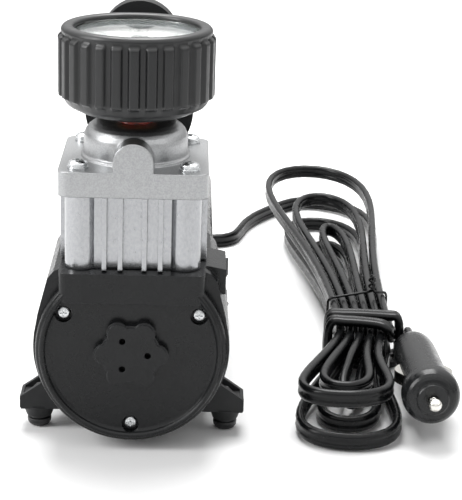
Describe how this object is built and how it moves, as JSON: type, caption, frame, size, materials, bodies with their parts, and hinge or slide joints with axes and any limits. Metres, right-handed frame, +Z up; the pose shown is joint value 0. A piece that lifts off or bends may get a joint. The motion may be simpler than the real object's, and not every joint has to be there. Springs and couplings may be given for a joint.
{
  "type": "portable tire inflator",
  "caption": "Portable 12 V tyre inflator: piston compressor with gauge, motor under a carry handle, feet, and a coiled flat cord with a lighter plug.",
  "frame": {"origin": "on the floor, under the middle of the compressor's length and width, cord and plug left out", "axes": "+Z up; -Y is the front, where the crankcase cover faces; +X is the side with the switch, the cord hank and the plug"},
  "size_m": [0.1619, 0.3181, 0.1525],
  "materials": {
    "painted_casting": "satin paint over a fine cast texture",
    "cast_alloy": "bare cast and machined aluminium",
    "chromed_steel": "bright plated steel",
    "steel": "plain steel",
    "brass": "machined brass",
    "copper": "machined copper",
    "moulded_plastic": "fine-grained black plastic",
    "rubber": "satin black rubber and soft vinyl",
    "red_sealant": "cured thread sealant",
    "filter_felt": "felt",
    "gasket_paper": "graphite-faced gasket sheet",
    "white_plastic": "white sealing plastic",
    "dial_face": "matt white dial",
    "needle_paint": "matt black paint",
    "clear_lens": "clear, smooth",
    "magnet": "sintered, dull",
    "carbon": "pressed carbon"
  },
  "bodies": {
    "machine": {"crankcase_cover": "painted_casting", "cover_screws": "chromed_steel", "intake_cap": "painted_casting", "intake_filter": "filter_felt", "crankcase_body": "painted_casting", "base_gasket": "gasket_paper", "cylinder_block": "cast_alloy", "valve_plate": "steel", "discharge_reed": "steel", "cylinder_head": "cast_alloy", "head_screws": "chromed_steel", "outlet_nipple": "brass", "thread_seal": "red_sealant", "gauge_stem": "brass", "gauge_case": "steel", "gauge_movement": "brass", "gauge_dial": "dial_face", "gauge_lens": "clear_lens", "gauge_boot": "rubber", "main_bearings": "steel", "magnets": "magnet", "motor_can": "steel", "motor_end_plate": "moulded_plastic", "brushes": "carbon", "motor_shroud": "painted_casting", "rear_cover": "painted_casting", "handle_plate_front": "moulded_plastic", "handle_plate_rear": "moulded_plastic", "handle_tube": "steel", "handle_grip": "rubber", "body_screws": "chromed_steel", "foot_brackets": "moulded_plastic", "rubber_feet": "rubber", "switch_insert": "moulded_plastic", "cord_gland": "rubber", "cord_lead": "rubber", "cord_hank": "rubber", "cord_tail": "rubber", "twist_tie": "steel", "plug_nose": "moulded_plastic", "plug_barrel": "moulded_plastic", "plug_spring": "steel", "plug_fuse": "chromed_steel", "plug_relief": "rubber"},
    "crank": {"crank_disc": "steel", "motor_shaft": "steel", "armature": "steel", "commutator": "copper", "cooling_fan": "moulded_plastic"},
    "piston_and_rod": {"piston": "cast_alloy", "piston_seal": "white_plastic", "intake_reed": "steel", "connecting_rod": "cast_alloy", "rod_bearing": "steel", "crank_pin": "steel"},
    "needle": {"gauge_needle": "needle_paint"},
    "rocker": {"switch_rocker": "moulded_plastic"},
    "tip_pin": {"plug_pin": "chromed_steel"},
    "contact_left": {"plug_contact_left": "chromed_steel"},
    "contact_right": {"plug_contact_right": "chromed_steel"}
  },
  "joints": [
    {"name": "crank_spin", "type": "hinge", "parent": "machine", "child": "crank", "pos_m": [0, -0.0182, 0.0375], "axis": [0, 1, 0], "continuous": true},
    {"name": "piston_stroke", "type": "slide", "parent": "machine", "child": "piston_and_rod", "axis": [0, 0, 1], "range_m": [-0.018, 0]},
    {"name": "needle_sweep", "type": "hinge", "parent": "machine", "child": "needle", "pos_m": [0, -0.0492, 0.1375], "axis": [0, 0, 1], "range_deg": [-270, 0], "stiffness_Nm_per_rad": 0.0005},
    {"name": "switch_rock", "type": "hinge", "parent": "machine", "child": "rocker", "pos_m": [0.0306, -0.0554, 0.0609], "axis": [0, 0, 1], "range_deg": [0, 12]},
    {"name": "tip_press", "type": "slide", "parent": "machine", "child": "tip_pin", "axis": [0.007, 0.9972, -0.075], "range_m": [0, 0.0025], "stiffness_N_per_m": 300},
    {"name": "contact_press_left", "type": "slide", "parent": "machine", "child": "contact_left", "axis": [1, -0.007, 0], "range_m": [0, 0.0012], "stiffness_N_per_m": 500},
    {"name": "contact_press_right", "type": "slide", "parent": "machine", "child": "contact_right", "axis": [-1, 0.007, 0], "range_m": [0, 0.0012], "stiffness_N_per_m": 500}
  ]
}
